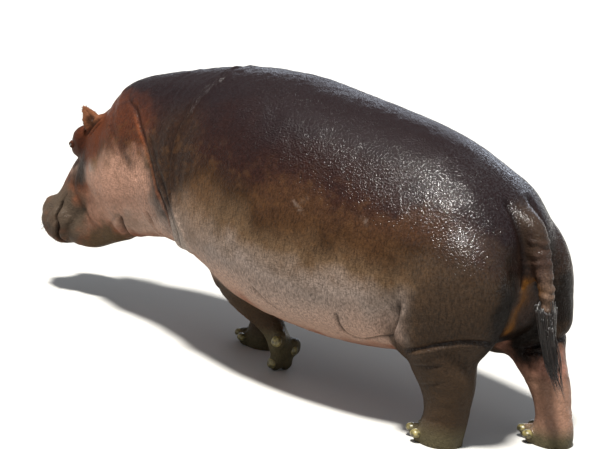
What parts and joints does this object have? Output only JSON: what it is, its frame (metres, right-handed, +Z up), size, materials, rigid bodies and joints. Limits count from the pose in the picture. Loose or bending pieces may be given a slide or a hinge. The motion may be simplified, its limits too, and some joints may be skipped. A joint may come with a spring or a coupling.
{
  "type": "hippopotamus model",
  "caption": "Life-size still model of a hippopotamus walking, head lowered and near forefoot on its toes, for a museum floor.",
  "frame": {"origin": "middle of the bounding box, on the floor", "axes": "+Z up, the animal faces -X, its left side is -Y"},
  "size_m": [3.33, 1.141, 1.4326],
  "materials": {
    "hide_back": "wet, smooth",
    "hide_head": "wet, smooth",
    "hide_leg": "wet, smooth",
    "hide_ear": "smooth",
    "eye": "gloss",
    "nail": "satin",
    "hair": "wet hair"
  },
  "bodies": {
    "root": {"head": "hide_head", "lower_jaw": "hide_head", "neck": "hide_back", "trunk": "hide_back", "tail": "hide_back", "tail_tuft": "hair", "ear_left": "hide_ear", "eye_left": "eye", "foreleg_left": "hide_leg", "forefoot_left": "hide_leg", "hindleg_left": "hide_leg", "hindfoot_left": "hide_leg", "forefoot_left_nail_1": "nail", "forefoot_left_nail_2": "nail", "forefoot_left_nail_3": "nail", "forefoot_left_nail_4": "nail", "hindfoot_left_nail_1": "nail", "hindfoot_left_nail_2": "nail", "hindfoot_left_nail_3": "nail", "hindfoot_left_nail_4": "nail", "ear_right": "hide_ear", "eye_right": "eye", "foreleg_right": "hide_leg", "forefoot_right": "hide_leg", "hindleg_right": "hide_leg", "hindfoot_right": "hide_leg", "forefoot_right_nail_1": "nail", "forefoot_right_nail_2": "nail", "forefoot_right_nail_3": "nail", "forefoot_right_nail_4": "nail", "hindfoot_right_nail_1": "nail", "hindfoot_right_nail_2": "nail", "hindfoot_right_nail_3": "nail", "hindfoot_right_nail_4": "nail"}
  },
  "joints": []
}
